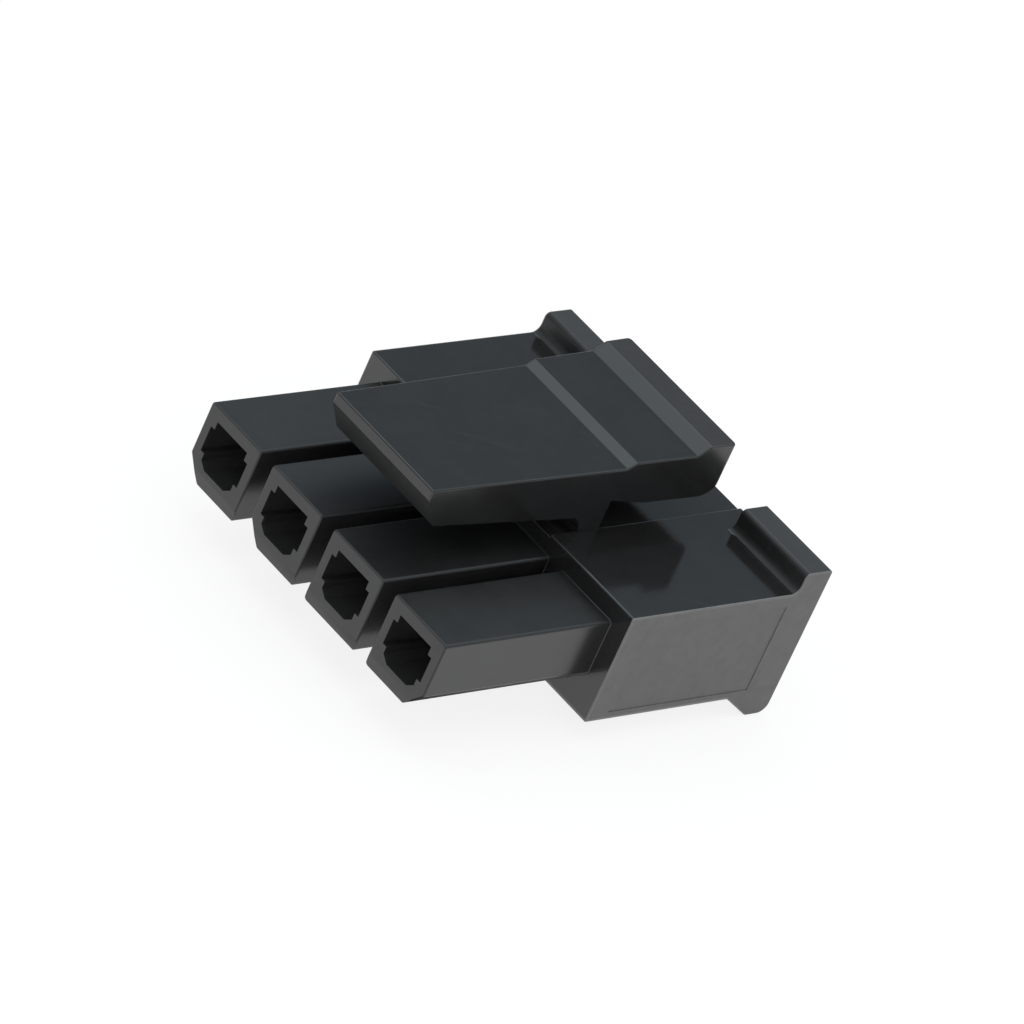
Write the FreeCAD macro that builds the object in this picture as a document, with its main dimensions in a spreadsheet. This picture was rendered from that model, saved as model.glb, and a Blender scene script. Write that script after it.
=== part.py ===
import FreeCAD, Part
import math
import os
import re
import Sketcher

# Housing of a single-row wire to board connector, moulded in one piece.
# X runs along the row, the mating face looks towards -Y, Z is up.
# The foot under the rear edge stands on Z = 0; X and Y are centred.

os.makedirs("parts", exist_ok=True)
doc = FreeCAD.newDocument("connector_housing")
sheet = doc.addObject("Spreadsheet::Sheet", "sizes")

SIZES = [
    ("circuits", "4", "number of silos in the row"),
    ("pitch", "3.0", "silo to silo"),
    ("end_margin", "1.90", "end silo axis to side wall"),
    ("body_length", "7.73", "rear block, along Y"),
    ("body_height", "3.90", "rear block, without bars and foot"),
    ("silo_length", "6.47", "how far the silos stand out of the block"),
    ("silo_width", "2.435", ""),
    ("silo_height", "2.54", ""),
    ("silo_drop", "0.61", "silo top below block top"),
    ("key_width", "0.64", "cut corner that keys a silo, along X"),
    ("key_height", "0.72", "cut corner that keys a silo, along Z"),
    ("bevel_height", "0.39", "bevel under the silo mouths"),
    ("bevel_depth", "0.07", ""),
    ("mouth_width", "1.46", "pin opening"),
    ("mouth_height", "1.57", ""),
    ("mouth_wall", "0.40", "silo top to pin opening"),
    ("mouth_cut_width", "0.26", "cut lower corners of the pin opening"),
    ("mouth_cut_height", "0.20", ""),
    ("band_width", "1.80", "wider middle band of the pin opening"),
    ("band_height", "0.87", ""),
    ("band_offset", "0.27", "top of the opening to its band"),
    ("cavity_depth", "6.75", "terminal cavity, from the rear face"),
    ("cavity_width", "2.0", ""),
    ("cavity_height", "2.5", ""),
    ("cavity_band_width", "2.36", "grooves for the terminal's side tangs"),
    ("cavity_band_height", "1.0", ""),
    ("cavity_lead", "0.16", "lead-in chamfer round the cavity rim"),
    ("channel_width", "4.82", "lowered strip between the shoulders"),
    ("channel_depth", "0.09", ""),
    ("bar_height", "0.72", "guard bars beside the latch"),
    ("bar_depth", "1.04", ""),
    ("bar_spacing", "6.53", "clear width between the bars"),
    ("foot_height", "0.63", "foot under the rear edge"),
    ("foot_length", "1.77", ""),
    ("foot_slope", "0.93", "length of its sloped front"),
    ("panel_front", "0.76", "block front face to side panel"),
    ("panel_length", "5.66", "shallow label panel on each side wall"),
    ("panel_drop", "0.42", "block top to side panel"),
    ("panel_height", "3.08", ""),
    ("panel_depth", "0.02", ""),
    ("latch_setback", "0.83", "mating face to latch nose"),
    ("latch_length", "11.63", ""),
    ("latch_front_width", "4.66", ""),
    ("latch_rear_width", "5.22", ""),
    ("latch_rise", "2.19", "block top to the latch's front flat"),
    ("latch_step", "0.19", "rear flat above front flat"),
    ("step_front", "7.52", "latch nose to the step"),
    ("step_run", "0.31", ""),
    ("thumb_rise", "0.30", "thumb bar above rear flat"),
    ("thumb_length", "1.00", ""),
    ("thumb_run", "0.43", "ramp up to the thumb bar"),
    ("nose_face", "0.34", "upright part of the nose"),
    ("hook_run", "0.62", "lead-in under the nose, along Y"),
    ("hook_drop", "1.31", "front flat to the foot of the lead-in"),
    ("hook_slope", "0.35", "fall of the underside from lead-in to web"),
    ("web_thickness", "0.83", "flexing web that carries the latch"),
    ("web_front", "0.95", "block front face to web"),
    ("web_clear", "1.07", "block top to latch underside behind the web"),
    ("heel_clear", "0.85", "block top to latch underside at the heel"),
    ("heel_run", "1.35", "underside behind the web slopes over this length"),
    ("lock_width", "3.2", "recess behind the hook that takes the header's ramp"),
    ("lock_front", "1.75", "latch nose to the locking face"),
    ("lock_length", "3.1", ""),
    ("lock_roof", "0.9", "latch left above the recess"),
    ("trim_margin", "0.3", "how far the taper cut reaches past the latch"),
    ("bore_overlap", "0.1", "pin opening runs this far into the cavity"),
    ("bar_radius", "0.18", "top front edge of the bars"),
    ("bar_root_radius", "0.28", "concave, at the foot of the bars"),
    ("bottom_radius", "0.28", "lower side and front edges of the block"),
    ("foot_radius", "0.16", "lower front edge of the foot"),
    ("heel_round", "0.38", "lower rear edge of the foot"),
    ("silo_radius", "0.10", "long edges of the silos"),
    ("root_radius", "0.03", "concave, silos to block"),
    ("web_root_radius", "0.5", "concave, underside to web"),
    ("heel_radius", "0.7", "lower rear edge of the latch"),
    ("latch_corner_radius", "0.14", "upright rear corners of the latch"),
    ("edge_radius", "0.06", "every other outer edge"),
]

DERIVED = [
    ("body_width", "(circuits - 1) * pitch + 2 * end_margin"),
    ("total_length", "silo_length + body_length"),
    ("mating_y", "-total_length / 2"),
    ("body_y", "mating_y + silo_length"),
    ("rear_y", "total_length / 2"),
    ("first_silo_x", "-(circuits - 1) * pitch / 2"),
    ("body_top", "foot_height + body_height"),
    ("channel_floor", "body_top - channel_depth"),
    ("silo_top", "body_top - silo_drop"),
    ("silo_bottom", "silo_top - silo_height"),
    ("silo_axis_z", "silo_top - silo_height / 2"),
    ("mouth_top", "silo_top - mouth_wall"),
    ("band_top", "mouth_top - band_offset"),
    ("bore_depth", "total_length - cavity_depth + bore_overlap"),
    ("bar_top", "body_top + bar_height"),
    ("latch_end", "latch_setback + latch_length"),
    ("latch_top", "body_top + latch_rise"),
    ("rear_flat", "latch_top + latch_step"),
    ("thumb_top", "rear_flat + thumb_rise"),
    ("thumb_front", "latch_end - thumb_length"),
    ("hook_bottom", "latch_top - hook_drop"),
    ("web_y", "silo_length + web_front"),
    ("web_rear", "web_y + web_thickness"),
    ("lock_plane", "hook_bottom - hook_slope"),
    ("lock_height", "latch_top - lock_roof - lock_plane"),
]


def fill_sheet():
    row = 1
    for name, value, note in SIZES:
        sheet.set("A%d" % row, name)
        sheet.set("B%d" % row, value)
        sheet.set("C%d" % row, note)
        sheet.setAlias("B%d" % row, name)
        row += 1
    for name, formula in DERIVED:
        sheet.set("A%d" % row, name)
        sheet.set("B%d" % row, "=" + formula)
        sheet.setAlias("B%d" % row, name)
        row += 1
    doc.recompute()


def bound(formula):
    # "silo_width / 2" becomes "sizes.silo_width / 2"
    return re.sub(r"[a-z][a-z_]*", lambda word: "sizes." + word.group(0), formula)


def value(formula):
    return float(sheet.evalExpression(bound(formula)))


def sketch_on(role, name, x="0", y="0", z="0"):
    # x, y and z move the sketch plane in its own directions
    plane = [f for f in body.Origin.OriginFeatures if f.Role == role][0]
    sketch = body.newObject("Sketcher::SketchObject", name)
    sketch.AttachmentSupport = (plane, [""])
    sketch.MapMode = "FlatFace"
    for axis, formula in (("x", x), ("y", y), ("z", z)):
        if formula != "0":
            sketch.setExpression("AttachmentOffset.Base." + axis, bound(formula))
    return sketch


def outline(sketch, corners):
    # closed outline; a corner is (x, y) or (x, y, radius)
    spots = [FreeCAD.Vector(value(c[0]), value(c[1]), 0) for c in corners]
    count = len(corners)
    ahead = [(spots[(i + 1) % count] - spots[i]).normalize() for i in range(count)]
    trims = []
    for i, corner in enumerate(corners):
        radius = value(corner[2]) if len(corner) > 2 else 0.0
        turn = ahead[i - 1].getAngle(ahead[i])
        trims.append(radius * math.tan(turn / 2))
    for i in range(count):
        nxt = (i + 1) % count
        sketch.addGeometry(Part.LineSegment(spots[i] + ahead[i] * trims[i],
                                            spots[nxt] - ahead[i] * trims[nxt]), False)
    for i, corner in enumerate(corners):
        before = (i - 1) % count
        if len(corner) == 2:
            sketch.addConstraint(Sketcher.Constraint("Coincident", before, 2, i, 1))
            hold(sketch, i, corner, spots[i])
        else:
            round_corner(sketch, before, i, corner, spots[i], ahead, trims[i])


def round_corner(sketch, before, after, corner, spot, ahead, trim):
    start, end = spot - ahead[before] * trim, spot + ahead[after] * trim
    inward = (ahead[after] - ahead[before]).normalize()
    radius = value(corner[2])
    reach = math.sqrt(radius ** 2 + trim ** 2) - radius
    arc = sketch.addGeometry(Part.Arc(start, spot + inward * reach, end), False)
    first = 1 if sketch.getPoint(arc, 1).distanceToPoint(start) < 1e-6 else 2
    sketch.addConstraint(Sketcher.Constraint("Tangent", before, 2, arc, first))
    sketch.addConstraint(Sketcher.Constraint("Tangent", arc, 3 - first, after, 1))
    index = sketch.addConstraint(Sketcher.Constraint("Radius", arc, radius))
    sketch.setExpression("Constraints[%d]" % index, bound(corner[2]))
    point = sketch.addGeometry(Part.Point(spot), True)
    sketch.addConstraint(Sketcher.Constraint("PointOnObject", point, 1, before))
    sketch.addConstraint(Sketcher.Constraint("PointOnObject", point, 1, after))
    hold(sketch, point, corner, spot)


def hold(sketch, thing, corner, spot):
    # the start of this line, or this point, keeps its distances from the sketch origin
    for kind, formula, start, axis in (("DistanceX", corner[0], spot.x, -2),
                                       ("DistanceY", corner[1], spot.y, -1)):
        if formula == "0":
            sketch.addConstraint(Sketcher.Constraint("PointOnObject", thing, 1, axis))
            continue
        index = sketch.addConstraint(Sketcher.Constraint(kind, -1, 1, thing, 1, start))
        sketch.setExpression("Constraints[%d]" % index, bound(formula))


def box_corners(left, right, low, high):
    return [(left, low), (right, low), (right, high), (left, high)]


def pad(sketch, name, length, symmetric=False):
    feature = body.newObject("PartDesign::Pad", name)
    feature.Profile = sketch
    if symmetric:
        feature.SideType = "Symmetric"
    feature.setExpression("Length", bound(length))
    return finish(feature, grows=True)


def pocket(sketch, name, length, reverse=False, symmetric=False):
    feature = body.newObject("PartDesign::Pocket", name)
    feature.Profile = sketch
    feature.Reversed = reverse
    if symmetric:
        feature.SideType = "Symmetric"
    feature.setExpression("Length", bound(length))
    return finish(feature, grows=False)


def along_row(features, name, count, grows):
    pattern = body.newObject("PartDesign::LinearPattern", name)
    pattern.Originals = features
    pattern.Direction = (features[0].Profile[0], ["H_Axis"])
    pattern.Mode = "Spacing"
    pattern.setExpression("Offset", bound("pitch"))
    pattern.setExpression("Occurrences", bound(count))
    body.Tip = pattern
    return finish(pattern, grows)


def mirrored(features, name, grows):
    mirror = body.newObject("PartDesign::Mirrored", name)
    mirror.Originals = features
    plane = [f for f in body.Origin.OriginFeatures if f.Role == "YZ_Plane"][0]
    mirror.MirrorPlane = (plane, [""])
    body.Tip = mirror
    return finish(mirror, grows)


def finish(feature, grows=None):
    # recompute and see that the feature added or removed material as meant
    before = finish.volume
    doc.recompute()
    after = feature.Shape.Volume
    if grows is True and after <= before + 1e-6:
        raise RuntimeError(feature.Name + " added nothing")
    if grows is False and after >= before - 1e-6:
        raise RuntimeError(feature.Name + " removed nothing")
    finish.volume = after
    return feature


finish.volume = 0.0


def direction(edge):
    # "x", "y" or "z" for a straight edge along that axis, else ""
    step = edge.Vertexes[-1].Point - edge.Vertexes[0].Point
    if step.Length < 1e-6 or abs(edge.Length - step.Length) > 1e-6:
        return ""
    for axis in "xyz":
        if abs(getattr(step, axis)) > 0.98 * step.Length:
            return axis
    return ""


def edges_of(feature, wanted):
    # wanted(axis, middle point, edge) says whether the edge is taken
    names = []
    for i, edge in enumerate(feature.Shape.Edges):
        middle = edge.BoundBox.Center
        if wanted(direction(edge), middle, edge):
            names.append("Edge%d" % (i + 1))
    if not names:
        raise RuntimeError("no edge found on " + feature.Name)
    return names


def fillet(base, name, radius, wanted):
    feature = body.newObject("PartDesign::Fillet", name)
    feature.Base = (base, edges_of(base, wanted))
    feature.setExpression("Radius", bound(radius))
    return finish(feature)


def chamfer(base, name, size, wanted):
    feature = body.newObject("PartDesign::Chamfer", name)
    feature.Base = (base, edges_of(base, wanted))
    feature.setExpression("Size", bound(size))
    return finish(feature, grows=False)


def near(a, b, slack=0.02):
    return abs(a - b) < slack


def make_block():
    # side view of the block with its foot below and its guard bar on top
    sketch = sketch_on("YZ_Plane", "block_profile", x="mating_y")
    outline(sketch, [("silo_length", "foot_height"),
                     ("total_length - foot_length", "foot_height"),
                     ("total_length - foot_length + foot_slope", "0", "foot_radius"),
                     ("total_length", "0", "heel_round"),
                     ("total_length", "bar_top"),
                     ("total_length - bar_depth", "bar_top", "bar_radius"),
                     ("total_length - bar_depth", "body_top", "bar_root_radius"),
                     ("silo_length", "body_top")])
    pad(sketch, "block", "body_width", symmetric=True)

    # the bar is parted in the middle, where the latch swings
    gap = sketch_on("XZ_Plane", "gap_section", z="-rear_y")
    outline(gap, box_corners("-bar_spacing / 2", "bar_spacing / 2",
                             "body_top", "bar_top + bar_height"))
    pocket(gap, "gap_between_bars", "bar_depth + 2 * bar_root_radius", reverse=True)

    strip = sketch_on("XZ_Plane", "channel_section", z="-rear_y")
    outline(strip, box_corners("-channel_width / 2", "channel_width / 2",
                               "channel_floor", "body_top + channel_depth"))
    return pocket(strip, "channel", "body_length + channel_depth", reverse=True)


def make_panels():
    sketch = sketch_on("YZ_Plane", "panel_outline", x="mating_y", z="body_width / 2")
    outline(sketch, box_corners("silo_length + panel_front",
                                "silo_length + panel_front + panel_length",
                                "body_top - panel_drop - panel_height",
                                "body_top - panel_drop"))
    panel = pocket(sketch, "right_panel", "panel_depth")
    return mirrored([panel], "panels", grows=False)


def make_silos():
    sketch = sketch_on("XZ_Plane", "silo_section", x="first_silo_x", z="-body_y")
    outline(sketch, box_corners("-silo_width / 2", "silo_width / 2", "silo_bottom", "silo_top"))
    silo = pad(sketch, "silo", "silo_length")
    return along_row([silo], "silos", "circuits", grows=True)


def make_keys():
    # the first two silos lose the lower outer corner, the last one the other corner
    left = sketch_on("XZ_Plane", "left_key", x="first_silo_x", z="-mating_y")
    outline(left, [("-silo_width / 2", "silo_bottom"),
                   ("-silo_width / 2 + key_width", "silo_bottom"),
                   ("-silo_width / 2", "silo_bottom + key_height")])
    cut = pocket(left, "left_key_cut", "silo_length")
    along_row([cut], "left_keys", "2", grows=False)

    right = sketch_on("XZ_Plane", "right_key", x="-first_silo_x", z="-mating_y")
    outline(right, [("silo_width / 2", "silo_bottom"),
                    ("silo_width / 2", "silo_bottom + key_height"),
                    ("silo_width / 2 - key_width", "silo_bottom")])
    return pocket(right, "right_key_cut", "silo_length")


def make_mouth_bevel():
    sketch = sketch_on("YZ_Plane", "bevel_profile", x="mating_y")
    outline(sketch, [("0", "silo_bottom + bevel_height"), ("0", "silo_bottom"),
                     ("bevel_depth", "silo_bottom")])
    return pocket(sketch, "mouth_bevel", "body_width", symmetric=True)


def make_latch():
    sketch = sketch_on("YZ_Plane", "latch_profile", x="mating_y")
    outline(sketch, [("latch_setback", "latch_top"),
                     ("latch_setback", "latch_top - nose_face"),
                     ("latch_setback + hook_run", "hook_bottom"),
                     ("web_y", "hook_bottom - hook_slope", "web_root_radius"),
                     ("web_y", "channel_floor - channel_depth"),
                     ("web_rear", "channel_floor - channel_depth"),
                     ("web_rear", "body_top + web_clear"),
                     ("web_rear + heel_run", "body_top + heel_clear"),
                     ("latch_end", "body_top + heel_clear", "heel_radius"),
                     ("latch_end", "thumb_top"),
                     ("thumb_front", "thumb_top"),
                     ("thumb_front - thumb_run", "rear_flat"),
                     ("latch_setback + step_front + step_run", "rear_flat"),
                     ("latch_setback + step_front", "latch_top")])
    pad(sketch, "latch", "latch_rear_width", symmetric=True)

    plan = sketch_on("XY_Plane", "taper_plan", y="mating_y", z="body_top")
    outline(plan, [("latch_front_width / 2", "latch_setback"),
                   ("latch_front_width / 2", "latch_setback - trim_margin"),
                   ("latch_rear_width / 2 + trim_margin", "latch_setback - trim_margin"),
                   ("latch_rear_width / 2 + trim_margin", "latch_end + trim_margin"),
                   ("latch_rear_width / 2 - 2 * latch_corner_radius", "latch_end + trim_margin"),
                   ("latch_rear_width / 2 - 2 * latch_corner_radius", "latch_end"),
                   ("latch_rear_width / 2", "latch_end", "latch_corner_radius")])
    trim = pocket(plan, "right_taper", "thumb_top - body_top + trim_margin", reverse=True)
    return mirrored([trim], "tapers", grows=False)


def make_lock_recess():
    sketch = sketch_on("XY_Plane", "lock_plan", y="mating_y", z="lock_plane")
    outline(sketch, box_corners("-lock_width / 2", "lock_width / 2",
                                "latch_setback + lock_front",
                                "latch_setback + lock_front + lock_length"))
    return pocket(sketch, "lock_recess", "lock_height", reverse=True)


def make_mouths():
    sketch = sketch_on("XZ_Plane", "mouth_outline", x="first_silo_x", z="-mating_y")
    half, wide = "mouth_width / 2", "band_width / 2"
    low, cut = "mouth_top - mouth_height", "mouth_top - mouth_height + mouth_cut_height"
    band_low = "band_top - band_height"
    right = [(half, "mouth_top"), (half, "band_top"), (wide, "band_top"), (wide, band_low),
             (half, band_low), (half, cut), (half + " - mouth_cut_width", low)]
    left = [("-(%s)" % x, z) for x, z in reversed(right)]
    outline(sketch, right + left)
    mouth = pocket(sketch, "mouth", "bore_depth")
    return along_row([mouth], "mouths", "circuits", grows=False)


def make_cavities():
    sketch = sketch_on("XZ_Plane", "cavity_outline", x="first_silo_x", y="silo_axis_z",
                       z="-rear_y")
    half, wide = "cavity_width / 2", "cavity_band_width / 2"
    high, band = "cavity_height / 2", "cavity_band_height / 2"
    right = [(half, high), (half, band), (wide, band), (wide, "-" + band),
             (half, "-" + band), (half, "-" + high)]
    left = [("-" + x, z) for x, z in reversed(right)]
    outline(sketch, right + left)
    cavity = pocket(sketch, "cavity", "cavity_depth", reverse=True)
    cavities = along_row([cavity], "cavities", "circuits", grows=False)

    rear = value("rear_y")
    top, low = value("silo_axis_z + cavity_height / 2"), value("silo_axis_z - cavity_height / 2")
    return chamfer(cavities, "cavity_lead_in", "cavity_lead",
                   lambda axis, at, e: axis in ("x", "z") and near(e.BoundBox.YMin, rear)
                   and low - 0.02 < at.z < top + 0.02 and e.Length < value("pitch"))


def round_block(base):
    side, front, rear = value("body_width / 2"), value("body_y"), value("rear_y")
    top, bar, low = value("body_top"), value("bar_top"), value("foot_height")
    strip = value("channel_width / 2")
    base = fillet(base, "lower_edges", "bottom_radius", lambda axis, at, e:
                  near(at.z, low) and (axis == "y" and near(abs(at.x), side)
                                       or axis == "x" and near(at.y, front)))
    base = fillet(base, "outer_edges", "edge_radius", lambda axis, at, e:
                  near(abs(at.x), side) and e.BoundBox.XLength < 0.01
                  and (e.BoundBox.ZMin > top - 0.02 or near(at.y, rear))
                  or axis == "x" and near(at.y, rear) and near(at.z, bar))
    return fillet(base, "shoulder_edges", "edge_radius", lambda axis, at, e:
                  axis == "y" and near(at.z, top) and near(abs(at.x), strip)
                  or axis == "x" and near(at.y, rear) and abs(at.x) < side / 2
                  and at.z > top - 0.2)


def round_silos(base):
    front, mouth = value("body_y"), value("mating_y")
    low, high = value("silo_bottom") - 0.02, value("silo_top") + 0.02
    side, rounded = value("body_width / 2"), value("foot_height + bottom_radius")
    base = fillet(base, "silo_edges", "silo_radius", lambda axis, at, e:
                  axis == "y" and mouth < at.y < front and low < at.z < high)
    base = fillet(base, "silo_roots", "root_radius", lambda axis, at, e:
                  e.BoundBox.YLength < 0.01 and near(at.y, front) and low < at.z < high
                  and abs(at.x) < side - 0.1)
    return fillet(base, "front_edges", "edge_radius", lambda axis, at, e:
                  e.BoundBox.YLength < 0.01 and near(at.y, front) and not near(at.z, rounded)
                  and (at.z < low or at.z > high or abs(at.x) > side - 0.4))


def round_mouths(base):
    mouth = value("mating_y")
    return fillet(base, "mouth_edges", "edge_radius", lambda axis, at, e:
                  e.BoundBox.YLength < 0.01 and near(at.y, mouth))


def round_latch(base):
    nose, low = value("mating_y + latch_setback"), value("latch_top - nose_face")
    flat = value("rear_flat")
    return fillet(base, "latch_edges", "edge_radius", lambda axis, at, e:
                  e.BoundBox.ZMin > low - 0.02
                  and (axis != "x" or near(at.y, nose) or at.z > flat + 0.1))


fill_sheet()
body = doc.addObject("PartDesign::Body", "housing")
doc.recompute()
last = round_block(make_block())
make_silos()
last = round_silos(make_keys())
last = round_mouths(last)
make_mouth_bevel()
make_panels()
make_latch()
last = round_latch(make_lock_recess())
make_mouths()
last = make_cavities()
doc.recompute()

for thing in doc.Objects:
    if "Invalid" in thing.State or "Error" in thing.State:
        raise RuntimeError(thing.Name + " did not compute")
shape = body.Shape
if shape.isNull() or not shape.isValid() or len(shape.Solids) != 1:
    raise RuntimeError("housing is not one sound solid")
body.Label = "housing"
shape.exportStep("parts/housing.step")
box = shape.optimalBoundingBox(False, False)
print("housing", round(shape.Volume, 2), "mm3", [round(v, 3) for v in
      (box.XMin, box.XMax, box.YMin, box.YMax, box.ZMin, box.ZMax)])
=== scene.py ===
import bpy
from math import radians
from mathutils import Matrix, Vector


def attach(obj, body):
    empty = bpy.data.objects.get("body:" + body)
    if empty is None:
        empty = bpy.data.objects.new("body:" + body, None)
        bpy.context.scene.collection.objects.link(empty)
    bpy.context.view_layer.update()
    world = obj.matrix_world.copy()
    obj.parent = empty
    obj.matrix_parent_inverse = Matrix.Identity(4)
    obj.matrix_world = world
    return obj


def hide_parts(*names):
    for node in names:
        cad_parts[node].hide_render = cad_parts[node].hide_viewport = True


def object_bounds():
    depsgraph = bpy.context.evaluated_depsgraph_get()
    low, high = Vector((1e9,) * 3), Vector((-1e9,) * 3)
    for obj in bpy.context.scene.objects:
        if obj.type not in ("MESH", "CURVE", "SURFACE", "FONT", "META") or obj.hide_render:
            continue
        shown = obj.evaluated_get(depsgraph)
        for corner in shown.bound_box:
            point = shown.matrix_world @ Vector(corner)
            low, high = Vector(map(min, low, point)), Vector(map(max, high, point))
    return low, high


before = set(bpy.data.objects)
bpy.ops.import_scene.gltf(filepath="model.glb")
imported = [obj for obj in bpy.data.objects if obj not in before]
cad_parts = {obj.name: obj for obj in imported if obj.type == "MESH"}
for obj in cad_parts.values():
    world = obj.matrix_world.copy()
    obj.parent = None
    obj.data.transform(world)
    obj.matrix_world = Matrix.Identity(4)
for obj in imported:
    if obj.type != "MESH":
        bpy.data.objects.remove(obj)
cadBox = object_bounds()
print("frame loaded:", ", ".join(sorted(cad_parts)))

mm = 0.001
perMm = 1000.0      # patterns are set out in millimetres


def pickOnly(*things):
    bpy.ops.object.select_all(action="DESELECT")
    for thing in things:
        thing.select_set(True)
    bpy.context.view_layer.objects.active = things[0]


def addNode(tree, kind, values=None, links=None, **settings):
    node = tree.nodes.new(kind)
    for name, setting in settings.items():
        setattr(node, name, setting)
    for socket, value in (values or {}).items():
        node.inputs[socket].default_value = value
    for socket, source in (links or {}).items():
        tree.links.new(source, node.inputs[socket])
    return node


def doMath(tree, operation, a, b=None, clamp=False):
    node = addNode(tree, "ShaderNodeMath", operation=operation, use_clamp=clamp)
    for i, item in enumerate((a, b)):
        if item is None:
            continue
        if isinstance(item, (int, float)):
            node.inputs[i].default_value = item
        else:
            tree.links.new(item, node.inputs[i])
    return node.outputs[0]


def remap(tree, source, low, high, toLow, toHigh):
    node = addNode(tree, "ShaderNodeMapRange", {"From Min": low, "From Max": high,
                                                "To Min": toLow, "To Max": toHigh},
                   {"Value": source})
    return node.outputs["Result"]


def startGroup(name, inputs, outputs):
    group = bpy.data.node_groups.new(name, "ShaderNodeTree")
    for socketName, socketType, value in inputs:
        socket = group.interface.new_socket(socketName, in_out="INPUT", socket_type=socketType)
        if value is not None:
            socket.default_value = value
    for socketName, socketType in outputs:
        group.interface.new_socket(socketName, in_out="OUTPUT", socket_type=socketType)
    return group, group.nodes.new("NodeGroupInput"), group.nodes.new("NodeGroupOutput")


def useGroup(tree, group, values=None, links=None):
    return addNode(tree, "ShaderNodeGroup", values, links, node_tree=group)


grainPattern = {
    "fineDetail": 3.0,
    "broadPerMm": 0.55, "broadDetail": 2.0, "broadRange": (0.35, 0.65),
    "smallPerMm": 3.2, "smallDetail": 2.5, "mottleRange": (0.75, 1.25),
}


def makeGrainGroup():
    # grain that the mould's steel leaves on the plastic
    group, put, out = startGroup(
        "mouldGrain",
        [("Place", "NodeSocketVector", None), ("Grains per mm", "NodeSocketFloat", 12.0),
         ("Softness", "NodeSocketFloat", 0.5)],
        [("Height", "NodeSocketFloat"), ("Patches", "NodeSocketFloat"),
         ("Mottle", "NodeSocketFloat")])
    fine = addNode(group, "ShaderNodeTexNoise", {"Detail": grainPattern["fineDetail"]},
                   {"Vector": put.outputs["Place"], "Scale": put.outputs["Grains per mm"],
                    "Roughness": put.outputs["Softness"]})
    broad = addNode(group, "ShaderNodeTexNoise", {"Scale": grainPattern["broadPerMm"],
                                                  "Detail": grainPattern["broadDetail"]},
                    {"Vector": put.outputs["Place"]})
    small = addNode(group, "ShaderNodeTexNoise", {"Scale": grainPattern["smallPerMm"],
                                                  "Detail": grainPattern["smallDetail"]},
                    {"Vector": put.outputs["Place"]})
    both = doMath(group, "ADD", broad.outputs["Fac"], small.outputs["Fac"])
    group.links.new(fine.outputs["Fac"], out.inputs["Height"])
    group.links.new(remap(group, broad.outputs["Fac"], *grainPattern["broadRange"], 0.0, 1.0),
                    out.inputs["Patches"])
    group.links.new(remap(group, both, *grainPattern["mottleRange"], 0.0, 1.0),
                    out.inputs["Mottle"])
    return group


hairlinePattern = {
    "turn": (0.0, 0.0, 0.6),        # radians
    "stretch": (1.0, 0.06, 1.0), "detail": 2.0, "roughness": 0.6, "contrast": 14.0,
}


def makeHairlineGroup():
    # fine handling scratches that run about one way
    group, put, out = startGroup(
        "hairlines",
        [("Place", "NodeSocketVector", None), ("Lines per mm", "NodeSocketFloat", 3.0),
         ("Rarity", "NodeSocketFloat", 0.62),
         ("Turn", "NodeSocketVector", hairlinePattern["turn"])],
        [("Mask", "NodeSocketFloat")])
    turned = addNode(group, "ShaderNodeVectorRotate", {},
                     {"Vector": put.outputs["Place"], "Rotation": put.outputs["Turn"]},
                     rotation_type="EULER_XYZ")
    stretched = addNode(group, "ShaderNodeVectorMath", {1: hairlinePattern["stretch"]},
                        {0: turned.outputs[0]}, operation="MULTIPLY")
    noise = addNode(group, "ShaderNodeTexNoise", {"Detail": hairlinePattern["detail"],
                                                  "Roughness": hairlinePattern["roughness"]},
                    {"Vector": stretched.outputs[0], "Scale": put.outputs["Lines per mm"]})
    above = doMath(group, "SUBTRACT", noise.outputs["Fac"], put.outputs["Rarity"])
    mask = doMath(group, "MULTIPLY", above, hairlinePattern["contrast"], clamp=True)
    group.links.new(mask, out.inputs["Mask"])
    return group


def makeRoundedEdgeGroup():
    # 1 on the rounded edges, 0 on the flats, from the way the surface faces
    group, put, out = startGroup(
        "roundedEdge", [("Start", "NodeSocketFloat", 0.04), ("End", "NodeSocketFloat", 0.2)],
        [("Mask", "NodeSocketFloat")])
    facing = addNode(group, "ShaderNodeNewGeometry")
    split = addNode(group, "ShaderNodeSeparateXYZ", {}, {0: facing.outputs["True Normal"]})
    sides = [doMath(group, "ABSOLUTE", split.outputs[i]) for i in range(3)]
    most = doMath(group, "MAXIMUM", doMath(group, "MAXIMUM", sides[0], sides[1]), sides[2])
    tilt = doMath(group, "SUBTRACT", 1.0, most)
    mask = addNode(group, "ShaderNodeMapRange", {"To Min": 0.0, "To Max": 1.0},
                   {"Value": tilt, "From Min": put.outputs["Start"],
                    "From Max": put.outputs["End"]})
    group.links.new(mask.outputs["Result"], out.inputs["Mask"])
    return group


grainGroup = makeGrainGroup()
hairlineGroup = makeHairlineGroup()
roundedEdgeGroup = makeRoundedEdgeGroup()
print("shared effects made")


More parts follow.
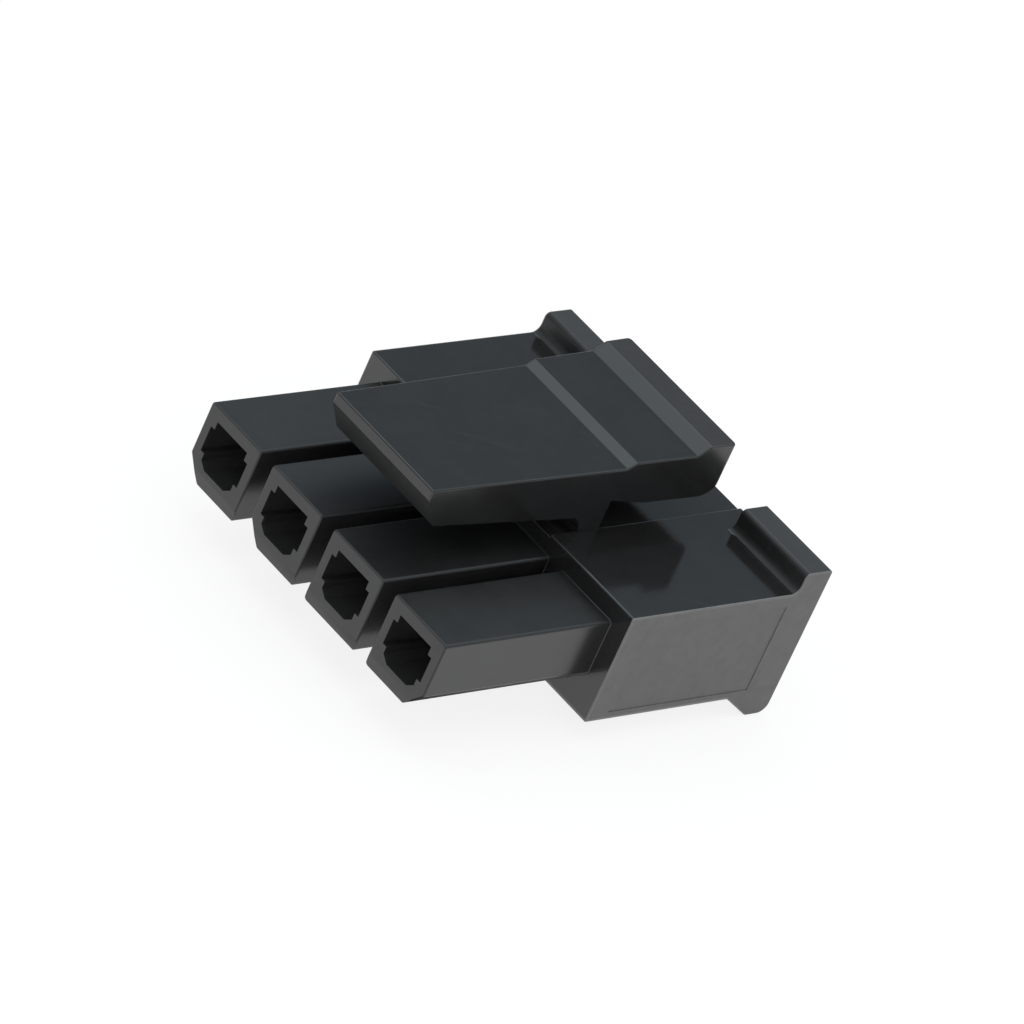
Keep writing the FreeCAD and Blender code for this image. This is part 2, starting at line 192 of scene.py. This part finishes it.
def plasticFinish(name, look):
    material = bpy.data.materials.new(name)
    material.use_nodes = True
    tree = material.node_tree
    shader = tree.nodes["Principled BSDF"]
    shader.inputs["IOR"].default_value = look["ior"]
    shader.inputs["Specular IOR Level"].default_value = look["specular"]

    where = addNode(tree, "ShaderNodeTexCoord")
    place = addNode(tree, "ShaderNodeVectorMath", {"Scale": perMm},
                    {0: where.outputs["Object"]}, operation="SCALE").outputs[0]
    grain = useGroup(tree, grainGroup, {"Grains per mm": look["grainsPerMm"],
                                        "Softness": look["grainSoftness"]}, {"Place": place})
    lines = useGroup(tree, hairlineGroup, {"Lines per mm": look["linesPerMm"],
                                           "Rarity": look["lineRarity"]}, {"Place": place})
    edge = useGroup(tree, roundedEdgeGroup)
    lineMask, edgeMask = lines.outputs["Mask"], edge.outputs["Mask"]

    patchy = addNode(tree, "ShaderNodeMix",
                     {6: (*look["color"], 1.0), 7: (*look["patchColor"], 1.0)},
                     {0: grain.outputs["Mottle"]}, data_type="RGBA")
    # hairline scratches and rounded edges take a lighter colour: wear on the scratches, wear and
    # a painted sheen on the edges
    scuffAndSheenShare = doMath(tree, "ADD", doMath(tree, "MULTIPLY", edgeMask, look["edgeWearAndSheenShare"]),
                     doMath(tree, "MULTIPLY", lineMask, look["lineShare"]), clamp=True)
    wearAndPaintedLight = addNode(tree, "ShaderNodeMix", {7: (*look["edgeWearAndSheenColor"], 1.0)},
                   {0: scuffAndSheenShare, 6: patchy.outputs[2]}, data_type="RGBA")
    if "deepPaintedLight" in look:
        # painted light: the bore walls are painted lighter further in from either mouth, to lift
        # their shade
        split = addNode(tree, "ShaderNodeSeparateXYZ", {}, {0: place})
        fromMiddle = doMath(tree, "ABSOLUTE", split.outputs["Y"])
        paintedLightShare = remap(tree, fromMiddle, *look["paintedLightRange"], 1.0, 0.0)
        wearAndPaintedLight = addNode(tree, "ShaderNodeMix", {7: (*look["deepPaintedLight"], 1.0)},
                       {0: paintedLightShare, 6: wearAndPaintedLight.outputs[2]}, data_type="RGBA")
    tree.links.new(wearAndPaintedLight.outputs[2], shader.inputs["Base Color"])

    rough = remap(tree, grain.outputs["Patches"], 0.0, 1.0, *look["roughness"])
    rough = doMath(tree, "ADD", rough,
                   doMath(tree, "MULTIPLY", lineMask, look["lineRoughness"]))
    rough = doMath(tree, "ADD", rough,
                   doMath(tree, "MULTIPLY", edgeMask, look["edgeRoughness"]))
    tree.links.new(rough, shader.inputs["Roughness"])

    height = doMath(tree, "SUBTRACT", grain.outputs["Height"],
                    doMath(tree, "MULTIPLY", lineMask, look["lineDepth"]))
    bump = addNode(tree, "ShaderNodeBump",
                   {"Strength": 1.0, "Distance": look["grainDepth"] * mm}, {"Height": height})
    tree.links.new(bump.outputs["Normal"], shader.inputs["Normal"])
    return material


def grey(value):
    return (value, value, value)


# one black plastic, from a mould that is polished, satin or textured from place to place; its
# rounded edges are painted lighter for wear and a painted sheen, and a few copies carry painted
# light or shade
polishedLook = {
    "color": grey(0.0115), "patchColor": grey(0.0150),
    "edgeWearAndSheenColor": grey(0.020), "edgeWearAndSheenShare": 0.5, "edgeRoughness": 0.25,
    "ior": 1.58, "specular": 0.5, "roughness": (0.10, 0.12),
    "grainsPerMm": 9.0, "grainSoftness": 0.45, "grainDepth": 0.0006,     # depth in mm
    "linesPerMm": 5.0, "lineRarity": 0.62, "lineRoughness": 0.05, "lineDepth": 0.2,
    "lineShare": 0.35,
}
blockFrontLook = dict(polishedLook, specular=0.66, roughness=(0.13, 0.16), edgeRoughness=0.5)
thumbLook = dict(polishedLook, color=(0.0270, 0.0250, 0.0235),
                 patchColor=(0.0310, 0.0290, 0.0275), edgeWearAndSheenColor=grey(0.036),
                 roughness=(0.16, 0.20))
satinLook = dict(polishedLook, color=grey(0.0138), patchColor=grey(0.0173),
                 roughness=(0.22, 0.26), grainsPerMm=14.0, grainDepth=0.0012,
                 edgeRoughness=0.35, lineRoughness=0.0, lineDepth=0.0, lineShare=0.15)
latchSideLook = dict(satinLook, color=grey(0.0110), patchColor=grey(0.0140),
                     roughness=(0.19, 0.23))
siloTopLook = dict(satinLook, color=grey(0.0110), patchColor=grey(0.0145),
                   roughness=(0.43, 0.47), specular=0.42)
# painted light: the bore walls are painted lighter than the plastic, and lighter still deeper
# in, to lift their shade
borePaintedLightLook = dict(satinLook, color=grey(0.0185), patchColor=grey(0.0215), specular=0.06,
                 roughness=(0.55, 0.62), edgeWearAndSheenShare=0.0, lineShare=0.0,
                 deepPaintedLight=grey(0.075), paintedLightRange=(4.5, 6.9))      # mm from the middle
texturedLook = dict(satinLook, color=(0.0725, 0.070, 0.0685),
                    patchColor=(0.090, 0.087, 0.0855), edgeWearAndSheenColor=grey(0.105),
                    roughness=(0.46, 0.54), edgeRoughness=0.0, lineShare=0.0,
                    grainsPerMm=16.0, grainSoftness=0.7, grainDepth=0.006)
# painted highlight: the side wall's rounded edges are painted lighter than the wall
wallEdgeHighlightLook = dict(texturedLook, color=(0.118, 0.115, 0.113),
                    patchColor=(0.140, 0.137, 0.135), edgeWearAndSheenShare=0.0)
panelLook = dict(texturedLook, color=(0.0642, 0.0618, 0.0604),
                 patchColor=(0.0808, 0.0779, 0.0764), roughness=(0.42, 0.50),
                 grainDepth=0.004)
barLook = dict(texturedLook, color=(0.0275, 0.0255, 0.0245),
               patchColor=(0.0315, 0.0295, 0.0285), edgeWearAndSheenColor=grey(0.036),
               roughness=(0.32, 0.38), grainDepth=0.003)
# painted shade: the guard bar's front faces take a darker copy of the bar's plastic
barFrontShadedLook = dict(barLook, color=grey(0.0130), patchColor=grey(0.0190), edgeWearAndSheenShare=0.0,
                    specular=0.30, roughness=(0.40, 0.50))

looks = {
    "polishedPlastic": polishedLook, "texturedWallPlastic": texturedLook,
    "labelPanelPlastic": panelLook, "borePaintedLightPlastic": borePaintedLightLook,
    "satinSiloPlastic": satinLook, "guardBarPlastic": barLook,
    "latchSidePlastic": latchSideLook, "blockFrontPlastic": blockFrontLook,
    "thumbBarPlastic": thumbLook, "guardBarFrontShadedPlastic": barFrontShadedLook,
    "wallEdgeHighlightPlastic": wallEdgeHighlightLook, "siloTopPlastic": siloTopLook,
}
finishNames = list(looks)
finishes = [plasticFinish(name, look) for name, look in looks.items()]
print("plastic finishes made")


moulding = {
    "weld": 0.0008 * mm,
    "flatBelow": 0.2, "smoothBelow": 28.0,          # degrees
    "normalWeight": 50,
    "panelDepth": 0.02 * mm, "edgeRadius": 0.06 * mm,
    "siloAxes": (-4.5, -1.5, 1.5, 4.5), "boreReach": 1.19, "boreZ": (1.46, 3.85),   # mm
    "siloLength": 6.47 * mm, "blockTop": 4.53 * mm, "barFrontY": 5.70 * mm,
    "latchHalfWidth": 2.7 * mm, "thumbBarZ": 7.15 * mm,
}
moulding["wallX"] = cadBox[1][0]
moulding["siloRootY"] = cadBox[0][1] + moulding["siloLength"]

paint = {
    "flush": 0.01 * mm,             # how near two planes count as one
    "rootReach": 0.05 * mm,
    "straight": 0.98, "square": 0.9, "slanted": 0.3,        # parts of a unit normal
}


def makeMoulding():
    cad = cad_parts["housing"]
    shell = bpy.data.objects.new("housingMoulding", cad.data.copy())
    bpy.context.collection.objects.link(shell)
    pickOnly(shell)
    bpy.ops.object.mode_set(mode="EDIT")
    bpy.ops.mesh.select_all(action="SELECT")
    bpy.ops.mesh.remove_doubles(threshold=moulding["weld"])
    bpy.ops.mesh.dissolve_limited(angle_limit=radians(moulding["flatBelow"]))
    bpy.ops.object.mode_set(mode="OBJECT")
    bpy.ops.mesh.customdata_custom_splitnormals_clear()
    bpy.ops.object.shade_smooth_by_angle(angle=radians(moulding["smoothBelow"]))
    weighted = shell.modifiers.new("flatFaces", "WEIGHTED_NORMAL")
    weighted.mode = "FACE_AREA"
    weighted.weight = moulding["normalWeight"]
    weighted.keep_sharp = True
    bpy.ops.object.modifier_apply(modifier=weighted.name)
    return shell


def inBore(centre, normal):
    x, z = centre[0] / mm, centre[2] / mm
    low, high = moulding["boreZ"]
    offAxis = min(abs(x - axis) for axis in moulding["siloAxes"])
    inside = offAxis <= moulding["boreReach"] and low < z < high
    return inside and abs(normal[1]) < paint["square"]


def finishOf(centre, normal):
    x, y, z = abs(centre[0]), centre[1], centre[2]
    facesSide = abs(normal[0]) > paint["straight"]
    aboveBlock = z > moulding["blockTop"] + paint["flush"]
    if facesSide and abs(x - moulding["wallX"]) < paint["flush"]:
        return "texturedWallPlastic"
    if facesSide and abs(x - moulding["wallX"] + moulding["panelDepth"]) < paint["flush"]:
        return "labelPanelPlastic"
    # the side wall's rounded edges take the copy with a painted highlight
    if x > moulding["wallX"] - moulding["edgeRadius"]:
        return "wallEdgeHighlightPlastic"
    # the bore walls take the copy with painted light
    if inBore(centre, normal):
        return "borePaintedLightPlastic"
    if not aboveBlock and abs(y - moulding["siloRootY"]) < paint["rootReach"]:
        return "blockFrontPlastic"
    if not aboveBlock and y < moulding["siloRootY"]:
        return "siloTopPlastic" if normal[2] > paint["square"] else "satinSiloPlastic"
    # the guard bar's front faces take the copy with painted shade
    if aboveBlock and x > moulding["latchHalfWidth"] and y > moulding["barFrontY"]:
        return "guardBarFrontShadedPlastic" if normal[1] < -paint["slanted"] else "guardBarPlastic"
    if aboveBlock and x < moulding["latchHalfWidth"]:
        if z > moulding["thumbBarZ"]:
            return "thumbBarPlastic"
        if abs(normal[0]) > paint["square"] or normal[2] < -paint["slanted"]:
            return "latchSidePlastic"
    return "polishedPlastic"


def paintFaces(shell):
    shell.data.materials.clear()
    for finish in finishes:
        shell.data.materials.append(finish)
    for face in shell.data.polygons:
        face.material_index = finishNames.index(finishOf(face.center, face.normal))


housing = makeMoulding()
paintFaces(housing)
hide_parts("housing")
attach(housing, "root")
print("moulding made:", len(housing.data.polygons), "faces")


white = (1.0, 1.0, 1.0, 1.0)
studio = {
    "floorSize": 3.0, "floorColor": (0.92, 0.92, 0.92, 1.0),
    "whiteShare": 0.85,                 # the rest of the floor keeps the shadow
    "tentRadius": 0.8, "tentSegments": 48, "tentRings": 24,
    "tentLow": (0.233, 0.284, 0.326, 1.0), "tentHigh": (0.7, 0.8, 0.85, 1.0),
    "tentChange": (0.55, 0.75),         # where low turns to high, in parts of the radius
    "fill": 0.95,                       # even light from all round
    "softboxSize": 0.60, "softboxHeight": 0.45, "softboxPower": 0.94,
    "softboxColor": (0.80, 0.912, 0.934), "softboxShift": (-0.08, 0.0),
}


def seenDirectly(tree):
    # 1 for what the camera sees, straight or in a reflection
    path = addNode(tree, "ShaderNodeLightPath")
    share = doMath(tree, "MAXIMUM", path.outputs["Is Camera Ray"], path.outputs["Is Glossy Ray"])
    return doMath(tree, "MAXIMUM", share, path.outputs["Is Transmission Ray"])


def makeFloor():
    bpy.ops.mesh.primitive_plane_add(size=studio["floorSize"], location=(0, 0, 0))
    floor = bpy.context.object
    floor.name = "studioFloor"
    material = bpy.data.materials.new("whiteFloor")
    material.use_nodes = True
    tree = material.node_tree
    tree.nodes.remove(tree.nodes["Principled BSDF"])
    matte = addNode(tree, "ShaderNodeBsdfDiffuse", {"Color": studio["floorColor"]})
    glow = addNode(tree, "ShaderNodeEmission", {"Color": white, "Strength": 1.0})
    share = doMath(tree, "MULTIPLY", seenDirectly(tree), studio["whiteShare"])
    mix = addNode(tree, "ShaderNodeMixShader", {}, {0: share, 1: matte.outputs[0],
                                                   2: glow.outputs[0]})
    tree.links.new(mix.outputs[0], tree.nodes["Material Output"].inputs["Surface"])
    floor.data.materials.append(material)


def makeTent():
    # a cloth tent that shows only in the gloss of the plastic
    bpy.ops.mesh.primitive_uv_sphere_add(
        segments=studio["tentSegments"], ring_count=studio["tentRings"],
        radius=studio["tentRadius"], location=(0, 0, 0))
    tent = bpy.context.object
    tent.name = "softTent"
    material = bpy.data.materials.new("tentCloth")
    material.use_nodes = True
    tree = material.node_tree
    tree.nodes.remove(tree.nodes["Principled BSDF"])
    where = addNode(tree, "ShaderNodeTexCoord")
    split = addNode(tree, "ShaderNodeSeparateXYZ", {}, {0: where.outputs["Object"]})
    start, end = (part * studio["tentRadius"] for part in studio["tentChange"])
    height = remap(tree, split.outputs["Z"], start, end, 0.0, 1.0)
    tint = addNode(tree, "ShaderNodeMix", {6: studio["tentLow"], 7: studio["tentHigh"]},
                   {0: height}, data_type="RGBA")
    glow = addNode(tree, "ShaderNodeEmission", {"Strength": 1.0}, {"Color": tint.outputs[2]})
    tree.links.new(glow.outputs[0], tree.nodes["Material Output"].inputs["Surface"])
    tent.data.materials.append(material)
    tent.visible_camera = False
    tent.visible_diffuse = False
    tent.visible_transmission = False
    tent.visible_shadow = False


def makeWorld():
    world = bpy.data.worlds.new("studioWorld")
    bpy.context.scene.world = world
    world.use_nodes = True
    tree = world.node_tree
    tree.nodes.clear()
    backdrop = addNode(tree, "ShaderNodeBackground", {"Color": white, "Strength": 1.0})
    fill = addNode(tree, "ShaderNodeBackground", {"Color": white, "Strength": studio["fill"]})
    mix = addNode(tree, "ShaderNodeMixShader", {}, {0: seenDirectly(tree), 1: fill.outputs[0],
                                                   2: backdrop.outputs[0]})
    addNode(tree, "ShaderNodeOutputWorld", {}, {"Surface": mix.outputs[0]})


def makeLamps():
    x, y = studio["softboxShift"]
    bpy.ops.object.light_add(type="AREA", location=(x, y, studio["softboxHeight"]))
    softbox = bpy.context.object
    softbox.name = "topSoftbox"
    softbox.data.shape = "SQUARE"
    softbox.data.size = studio["softboxSize"]
    softbox.data.energy = studio["softboxPower"]
    softbox.data.color = studio["softboxColor"]
    softbox.visible_camera = False


# fitted to the corners that the photo shows
camera = {
    "place": (133.432 * mm, -171.178 * mm, 127.880 * mm),
    "turn": (57.7486, -21.3095, 50.7881),       # degrees
    "lens": 304.63, "sensor": 36.0, "nearest": 0.01, "farthest": 10.0,
}


def makeCamera():
    bpy.ops.object.camera_add(location=camera["place"],
                              rotation=[radians(angle) for angle in camera["turn"]])
    shot = bpy.context.object
    shot.name = "photoCamera"
    shot.data.sensor_width = camera["sensor"]
    shot.data.lens = camera["lens"]
    shot.data.clip_start = camera["nearest"]
    shot.data.clip_end = camera["farthest"]
    bpy.context.scene.camera = shot


bpy.context.scene.view_settings.view_transform = "Standard"
makeFloor()
makeTent()
makeWorld()
makeLamps()
makeCamera()
print("studio made")
